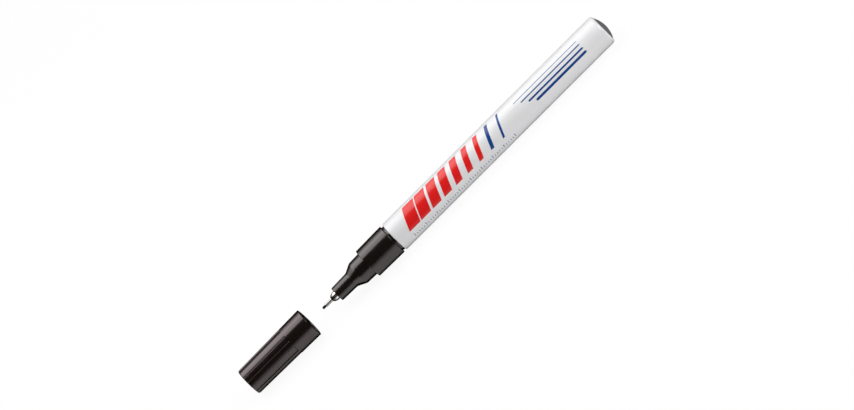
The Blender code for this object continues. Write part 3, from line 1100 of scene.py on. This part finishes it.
@dataclass
class Tip(Assembly):
    """Sprung tip: nib, needle tube, domed ferrule and sliding sleeve, and the wick round the sleeve."""

    nib_radius: float = 0.43
    nib_ease: float = 0.16
    tube_bore: float = 0.45
    ferrule_bore: float = 0.65
    ferrule_land: float = 0.1
    dome_length: float = 1.6
    dome_steps: int = 12
    shank_radius: float = 1.19
    sleeve_radius: float = 1.84
    sleeve_end_wall: float = 1.0
    shank_gap: float = 0.1
    shank_room: float = 0.05
    flange_length: float = 1.0
    window_length: float = 3.0
    window_half_angle: float = math.radians(16.0)
    wick_bore: float = 2.02
    crisp_ease: float = 0.05
    columns: int = 96

    def build(self) -> None:
        """Build the tip from front to rear, then the wick."""
        self.build_nib()
        self.build_tube()
        self.build_ferrule()
        self.build_sleeve()
        self.build_wick()

    def build_nib(self) -> None:
        """Build the ink-soaked nib with its blunt point."""
        span = Span.of("nib_core")
        outline = Outline().to(span.front, 0.0).out(self.nib_radius, self.nib_ease)
        outline.along(span.rear, self.crisp_ease).out(0.0)
        self.add("fibre_nib", turn(outline, self.columns), "nib_core", Body.TIP, NIB_FIBRE)

    def build_tube(self) -> None:
        """Build the needle tube, with its mouth rolled round."""
        span = Span.of("needle_tube")
        outline = Outline().to(span.front, span.radius, self.crisp_ease).along(span.rear)
        outline.out(self.tube_bore).along(span.front, self.crisp_ease)
        self.add("steel_needle", turn(outline, self.columns), "needle_tube", Body.TIP, TUBE_STEEL)

    def build_ferrule(self) -> None:
        """Build the ferrule, which bulges from a narrow land to its full width."""
        span = Span.of("tip_ferrule")
        land = self.ferrule_bore + self.ferrule_land
        drop = span.radius - land
        sweep = (self.dome_length ** 2 + drop ** 2) / (2 * drop)
        lean = math.degrees(math.asin(self.dome_length / sweep))
        bulge = arc((span.front + self.dome_length, span.radius - sweep), sweep, 90.0 + lean, 90.0,
                    self.dome_steps)
        shank_front = Span.of("nib_holder").front - self.shank_gap
        outline = Outline([Corner(span.front, self.ferrule_bore, self.crisp_ease), *bulge])
        outline.along(shank_front, self.crisp_ease).out(self.shank_radius)
        outline.along(span.rear, self.crisp_ease).out(self.ferrule_bore)
        self.add("domed_ferrule", turn(outline, self.columns), "tip_ferrule", Body.TIP, PLATING)

    def build_sleeve(self) -> None:
        """Build the sliding sleeve, with its flange and two feed windows."""
        span = Span.of("nib_holder")
        wick = Span.of("ink_wick")
        shank_rear = Span.of("tip_ferrule").rear + self.shank_gap
        shank_bore = self.shank_radius + self.shank_room
        bore_end = span.rear - self.sleeve_end_wall
        flange_front = span.rear - self.flange_length
        window_front = (wick.front + wick.rear - self.window_length) / 2
        window_rear = window_front + self.window_length
        crisp = self.crisp_ease
        outline = Outline().to(bore_end, 0.0).out(self.tube_bore)
        outline.along(window_rear).along(window_front).along(shank_rear).out(shank_bore)
        outline.along(span.front, crisp).out(self.sleeve_radius, crisp)
        outline.along(window_front).along(window_rear).along(flange_front)
        outline.out(span.radius, crisp).along(span.rear, crisp).out(0.0)
        shape = turn(outline, self.columns)
        for side in (-1, 1):
            pierce(shape, window_front, window_rear, side * math.pi / 2, self.window_half_angle)
        self.add("nib_sleeve", shape, "nib_holder", Body.TIP, WHITE_PLASTIC)

    def build_wick(self) -> None:
        """Build the felt wick."""
        span = Span.of("ink_wick")
        crisp = self.crisp_ease
        outline = Outline().to(span.front, span.radius, crisp).along(span.rear, crisp)
        outline.out(self.wick_bore, crisp).along(span.front, crisp)
        self.add("felt_wick", turn(outline, self.columns), "ink_wick", Body.MARKER, WICK_FELT)


@dataclass
class Valve(Assembly):
    """Spring valve: seat ring, windowed cage, plunger and coil spring."""

    seat_bore: float = 1.2
    seat_mouth: float = 2.0
    cone_depth: float = 0.8
    cage_bore: float = 2.6
    cage_floor: float = 2.2
    guide_bore: float = 1.15
    window_count: int = 4
    window_length: float = 1.6
    window_sill: float = 0.3
    window_half_angle: float = math.radians(16.0)
    pin_radius: float = 0.74
    tail_radius: float = 0.98
    tail_ease: float = 0.12
    head_length: float = 1.4
    spring_radius: float = 1.875
    wire_radius: float = 0.22
    wire_gap: float = 0.06
    end_turns: int = 1
    free_turns: int = 4
    turn_steps: int = 48
    wire_sides: int = 16
    squeeze_joint: str = "tip_plunge"
    crisp_ease: float = 0.06
    columns: int = 96

    def build(self) -> None:
        """Build the valve's pieces."""
        self.build_seat()
        self.build_cage()
        self.build_plunger()
        self.build_spring()

    def build_seat(self) -> None:
        """Build the seat ring with its conical seat."""
        span = Span.of("valve_seat")
        crisp = self.crisp_ease
        outline = Outline().to(span.front, span.radius, crisp).along(span.rear, crisp)
        outline.out(self.seat_mouth, crisp).to(span.rear - self.cone_depth, self.seat_bore)
        outline.along(span.front, crisp)
        self.add("valve_seat_ring", turn(outline, self.columns), "valve_seat", Body.MARKER, WHITE_PLASTIC)

    def build_cage(self) -> None:
        """Build the cage with its guide hole and its ink windows."""
        span = Span.of("valve_cage")
        floor = span.rear - self.cage_floor
        window_rear = floor - self.window_sill
        window_front = window_rear - self.window_length
        crisp = self.crisp_ease
        outline = Outline().to(span.front, span.radius, crisp)
        outline.along(window_front).along(window_rear).along(span.rear, crisp)
        outline.out(self.guide_bore, crisp).along(floor, crisp).out(self.cage_bore)
        outline.along(window_rear).along(window_front).along(span.front, crisp)
        shape = turn(outline, self.columns)
        for window in range(self.window_count):
            middle = 2 * math.pi * window / self.window_count
            pierce(shape, window_front, window_rear, middle, self.window_half_angle)
        self.add("valve_cage_cup", shape, "valve_cage", Body.MARKER, WHITE_PLASTIC)

    def build_plunger(self) -> None:
        """Build the plunger: pin, conical head and guided tail."""
        span = Span.of("valve_stem")
        face = Span.of("valve_cage").front
        head_rear = face + self.head_length
        cone_front = face - self.cone_depth
        crisp = self.crisp_ease
        outline = Outline().to(span.front, 0.0).out(self.pin_radius, crisp).along(cone_front)
        outline.out(self.seat_bore).to(face, self.seat_mouth).out(span.radius, crisp)
        outline.along(head_rear, crisp).out(self.tail_radius, crisp)
        outline.along(span.rear, self.tail_ease).out(0.0)
        self.add("valve_plunger", turn(outline, self.columns), "valve_stem", Body.VALVE, GREY_PLASTIC)

    def build_spring(self) -> None:
        """Build the coil spring with close end turns."""
        head_rear = Span.of("valve_cage").front + self.head_length
        floor = Span.of("valve_cage").rear - self.cage_floor
        start = head_rear + self.wire_gap + self.wire_radius
        rise = floor - self.wire_gap - self.wire_radius - start
        close_pitch = 2 * self.wire_radius + self.wire_gap
        free_pitch = (rise - 2 * self.end_turns * close_pitch) / self.free_turns
        close_end = (self.end_turns, close_pitch)
        shape = bmesh.new()
        circle = bmesh.ops.create_circle(shape, segments=self.wire_sides, radius=self.wire_radius)
        upright = Matrix.Rotation(math.pi / 2, 4, "X")
        seat = Matrix.Translation((start, 0.0, AXIS_HEIGHT + self.spring_radius))
        bmesh.ops.transform(shape, matrix=seat @ upright, verts=circle["verts"])
        loop = shape.verts[:] + shape.edges[:]
        for turns, pitch in (close_end, (self.free_turns, free_pitch), close_end):
            coil = bmesh.ops.spin(shape, geom=loop, cent=(0.0, 0.0, AXIS_HEIGHT), axis=ALONG_AXIS,
                                  dvec=(pitch / self.turn_steps, 0.0, 0.0), angle=2 * math.pi * turns,
                                  steps=turns * self.turn_steps)
            loop = coil["geom_last"]
        bmesh.ops.remove_doubles(shape, verts=shape.verts, dist=MERGE)
        bmesh.ops.holes_fill(shape, edges=[edge for edge in shape.edges if edge.is_boundary], sides=0)
        bmesh.ops.recalc_face_normals(shape, faces=shape.faces)
        spring = self.add("coil_spring", shape, "valve_spring", Body.MARKER, SPRING_STEEL)
        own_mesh(spring)


@dataclass
class MixingBall(Assembly):
    """Loose steel ball that stirs the ink."""

    columns: int = 64
    rows: int = 32

    def build(self) -> None:
        """Build the ball."""
        span = Span.of("mixing_ball")
        shape = bmesh.new()
        seat = Matrix.Translation(((span.front + span.rear) / 2, 0.0, span.height))
        bmesh.ops.create_uvsphere(shape, u_segments=self.columns, v_segments=self.rows, radius=span.radius,
                                  matrix=seat)
        self.add("steel_ball", shape, "mixing_ball", Body.BALL, SPRING_STEEL)


@dataclass
class Cap(Assembly):
    """Pulled-off cap with lengthwise recesses, and the liner that seals the tip."""

    taper: float = 0.4
    floor: float = 1.2
    bore: float = 4.6
    liner_bore: float = 3.625
    corner_ease: float = 0.4
    lip_ease: float = 0.1
    mouth_ease: float = 0.3
    plain_ring: float = 8.4
    recess_count: int = 7
    recess_half_angle: float = math.radians(14.1)
    recess_first: float = math.radians(-44.1)
    recess_depth: float = 0.25
    recess_wall: float = 0.24
    recess_step: float = 0.125
    gate_radius: float = 0.9
    gate_depth: float = 0.18
    nub_radius: float = 0.3
    nub_top: float = 0.24
    nub_sunk: float = 0.06
    inner_bore: float = 2.975
    inner_floor: float = 1.3
    crisp_ease: float = 0.06
    columns: int = 672
    inner_columns: int = 128

    def build(self) -> None:
        """Build the shell and its liner."""
        self.build_shell()
        self.build_liner()

    def build_shell(self) -> None:
        """Build the shell with its gate mark and press its recesses in."""
        span = Span.of("cap_shell")
        liner = Span.of("inner_cap")
        recess_end = span.rear - self.plain_ring
        wall_end = recess_end - self.recess_wall
        gate_floor = span.front + self.gate_depth
        crisp = self.crisp_ease
        outline = Outline().to(span.front + self.floor, 0.0).out(self.liner_bore)
        outline.along(liner.rear, crisp).out(self.bore, crisp)
        outline.along(span.rear, self.mouth_ease).out(span.radius, self.lip_ease)
        outline.to(recess_end, self.skin(span, recess_end)).to(wall_end, self.skin(span, wall_end))
        outline.to(span.front, span.radius - self.taper, self.corner_ease).out(self.gate_radius, crisp)
        outline.to(gate_floor, self.gate_radius - self.gate_depth, crisp).out(self.nub_radius)
        outline.to(span.front + self.nub_sunk, self.nub_top).out(0.0)
        shape = turn(outline, self.columns)
        self.press_recesses(shape, span, recess_end)
        bmesh.ops.recalc_face_normals(shape, faces=shape.faces)
        self.add("grip_cap", shape, "cap_shell", Body.CAP, CAP_PLASTIC)

    def skin(self, span: Span, place: float) -> float:
        """Give the radius of the tapered skin at a place along the axis."""
        return span.radius - self.taper * (span.rear - place) / (span.rear - span.front)

    def press_recesses(self, shape: bmesh.types.BMesh, span: Span, recess_end: float) -> None:
        """Press shallow recesses into the skin, open at the closed end.

        Args:
            shape: The shell without recesses.
            span: The shell's room.
            recess_end: Place where the recesses end and the plain ring starts.
        """
        pitch = 2 * math.pi / self.recess_count
        for vert in shape.verts:
            radius = math.hypot(vert.co.y, vert.co.z - AXIS_HEIGHT)
            bed = self.skin(span, vert.co.x) - self.recess_depth
            if radius <= bed:
                continue
            off = (around(vert.co) - self.recess_first + pitch / 2) % pitch - pitch / 2
            wall = self.recess_wall if off > 0 else self.recess_step
            across = clamp((self.recess_half_angle - abs(off)) * radius / wall)
            along = clamp((recess_end - vert.co.x) / self.recess_wall)
            share = (radius - (radius - bed) * across * along) / radius
            vert.co.y *= share
            vert.co.z = AXIS_HEIGHT + (vert.co.z - AXIS_HEIGHT) * share

    def build_liner(self) -> None:
        """Build the liner cup."""
        span = Span.of("inner_cap")
        outline = Outline().to(span.front + self.inner_floor, 0.0).out(self.inner_bore, self.corner_ease)
        outline.along(span.rear, self.crisp_ease).out(span.radius, self.crisp_ease)
        outline.along(span.front, self.corner_ease).out(0.0)
        self.add("cap_liner", turn(outline, self.inner_columns), "inner_cap", Body.CAP, LINER_PLASTIC)


@dataclass(frozen=True)
class Softbox:
    """Rectangular lamp that faces the marker, with its angles in degrees.

    Its lift goes from the viewer's horizon over the top, its turn from there to the barrel's end, and its
    shift along the marker's axis.
    """

    name: str
    lift: float
    shift: float
    length: float
    width: float
    radiance: float
    distance: float = 0.6
    turn: float = 0.0

    def place(self, target: Vector) -> None:
        """Add the lamp.

        Args:
            target: The point that it faces.
        """
        lift = math.radians(self.lift)
        towards = Vector((0.0, -math.cos(lift), math.sin(lift)))
        towards.rotate(Matrix.Rotation(math.radians(self.turn), 3, "Z"))
        level = Vector((0.0, 0.0, 1.0)).cross(towards).normalized()
        light = bpy.data.lights.new(self.name, "AREA")
        light.shape = "RECTANGLE"
        light.size = self.length
        light.size_y = self.width
        light.energy = self.radiance * math.pi * self.length * self.width
        place = target + towards * self.distance + Vector((self.shift, 0.0, 0.0))
        stand(self.name, light, place, (level, towards.cross(level), towards))


@dataclass(frozen=True)
class Studio:
    """Pale floor, soft light and the camera at the photograph's angle.

    The glow, the painted shade and the strip are what reflections show of the floor: a strip of painted
    light before the marker and painted shade under and behind it. Their places are in millimetres: the
    shade's end and fade along the marker's axis, and all others across it, with the viewer's side negative.
    """

    image_width: float = 854.0
    millimetres_per_pixel: float = 0.3187
    distance: float = 1.5
    roll: float = math.radians(45.0)
    sideways: float = 0.08
    below_axis: float = 0.00012
    aim: float = -0.00008
    sensor_millimetres: float = 36.0
    floor_size: float = 6.0
    floor_colour: Colour = (0.92, 0.92, 0.92)
    floor_glow: float = 0.93
    # Painted light that only reflections show: a glowing strip before the marker
    mirrored_glow: float = 0.3
    glow_edge: float = -5.0
    # Painted shade that only reflections show: dark under and behind the marker, lighter past its end
    painted_shade_colour: Colour = (0.01, 0.01, 0.01)
    painted_shade_edge: float = -4.0
    painted_shade_end: float = 79.0
    painted_shade_fade: float = 1.0
    painted_shade_beyond: float = 0.7
    # The strip of painted light dims from near the marker towards the viewer
    strip_near: float = -8.0
    strip_far: float = -50.0
    strip_dim: float = 0.3
    backdrop_glow: float = 0.97
    sky: Colour = (1.0, 0.82, 0.65)
    sky_strength: float = 0.05
    softboxes: tuple[Softbox, ...] = (
        Softbox("front_softbox", lift=92.0, shift=-0.28, length=0.95, width=0.255, radiance=2.4),
        Softbox("key_softbox", lift=116.0, shift=-0.2, length=0.84, width=0.255, radiance=3.0),
        Softbox("rear_softbox", lift=137.0, shift=-0.14, length=0.72, width=0.2, radiance=1.2),
        Softbox("fill_softbox", lift=42.0, shift=0.0, length=0.33, width=0.33, radiance=5.2, distance=0.55,
                turn=55.0),
    )

    def build(self) -> None:
        """Set the stage."""
        bpy.context.scene.view_settings.view_transform = "Standard"
        axis_point = Vector((self.aim, 0.0, AXIS_HEIGHT * MM))
        self.lay_floor()
        self.light_world()
        for softbox in self.softboxes:
            softbox.place(axis_point)
        self.set_camera(axis_point)

    def lay_floor(self) -> None:
        """Lay the floor."""
        shape = bmesh.new()
        bmesh.ops.create_grid(shape, x_segments=1, y_segments=1, size=self.floor_size / 2)
        make_object("floor", shape, self.floor_material())

    def floor_material(self) -> bpy.types.Material:
        """Build a pale sheet that looks white, keeps the marker's shadow and can't be seen from below.

        Reflections show it with painted light and shade: a glowing strip before the marker, and painted
        shade under and behind it.

        Returns:
            The material.
        """
        material = bpy.data.materials.new("pale_floor")
        board = Board.of(material)
        along, across, _ = board.axes()
        # Painted shade for reflections: dark under and behind the marker, lighter past its end
        ending = board.remap(along, self.painted_shade_end, self.painted_shade_end + self.painted_shade_fade, 1.0, self.painted_shade_beyond)
        painted_shade = (across > self.painted_shade_edge) * ending
        # Painted light for reflections: the strip before the marker, dimming towards the viewer
        strip = board.remap(across, self.strip_far, self.strip_near, self.strip_dim, 1.0) * (1.0 - painted_shade)
        seen, glossy, through = (board.read("ShaderNodeLightPath", output) for output in (
            "Is Camera Ray", "Is Glossy Ray", "Is Transmission Ray"))
        mirrored = glossy.either(through)
        # The camera sees the floor evenly white; in reflections the strip glows as painted light
        glow = seen * self.floor_glow + mirrored * strip * (across < self.glow_edge) * self.mirrored_glow
        # In reflections the floor turns dark outside the strip: painted shade
        tint = board.mix(mirrored * (1.0 - strip), self.floor_colour, self.painted_shade_colour)
        matt = board.add("ShaderNodeBsdfDiffuse", {"Color": tint})
        white = board.add("ShaderNodeEmission", {"Color": WHITE, "Strength": 1.0})
        clear = board.add("ShaderNodeBsdfTransparent")
        below = board.read("ShaderNodeNewGeometry", "Backfacing")
        sheet = board.blend(below, board.blend(glow, matt, white), clear)
        board.add("ShaderNodeOutputMaterial", {"Surface": sheet})
        return material

    def light_world(self) -> None:
        """Fill the room with dim light, and show it white behind the marker."""
        world = bpy.data.worlds.new("room")
        board = Board.of(world)
        dim = board.add("ShaderNodeBackground", {"Color": self.sky, "Strength": self.sky_strength})
        white = board.add("ShaderNodeBackground", {"Color": WHITE, "Strength": self.backdrop_glow})
        seen = board.read("ShaderNodeLightPath", "Is Camera Ray")
        board.add("ShaderNodeOutputWorld", {"Surface": board.blend(seen, dim, white)})
        bpy.context.scene.world = world

    def set_camera(self, axis_point: Vector) -> None:
        """Set the camera so that the marker lies across the picture.

        Args:
            axis_point: Point of the axis in the middle of the picture.
        """
        towards = Vector((0.0, -math.cos(VIEW_LIFT), math.sin(VIEW_LIFT)))
        upwards = Vector((0.0, math.sin(VIEW_LIFT), math.cos(VIEW_LIFT)))
        target = axis_point - upwards * self.below_axis
        place = target + towards * self.distance + Vector((self.sideways, 0.0, 0.0))
        back = (place - target).normalized()
        along = Vector(ALONG_AXIS)
        level = (along - back * along.dot(back)).normalized()
        raised = back.cross(level)
        right = level * math.cos(self.roll) - raised * math.sin(self.roll)
        top = level * math.sin(self.roll) + raised * math.cos(self.roll)
        data = bpy.data.cameras.new("camera")
        data.sensor_fit = "HORIZONTAL"
        data.sensor_width = self.sensor_millimetres
        picture = self.image_width * self.millimetres_per_pixel * MM
        data.lens = self.sensor_millimetres * self.distance / picture
        bpy.context.scene.camera = stand("camera", data, place, (right, top, back))


def main() -> None:
    """Build the marker's sub-assemblies and the studio."""
    logging.basicConfig(level=logging.INFO, format="%(name)s: %(message)s")
    for assembly in (Barrel(), FrontSection(), Tip(), Valve(), MixingBall(), Cap()):
        assembly.build()
        LOG.info("%s is built", type(assembly).__name__)
    Studio().build()


if __name__ == "__main__":
    main()
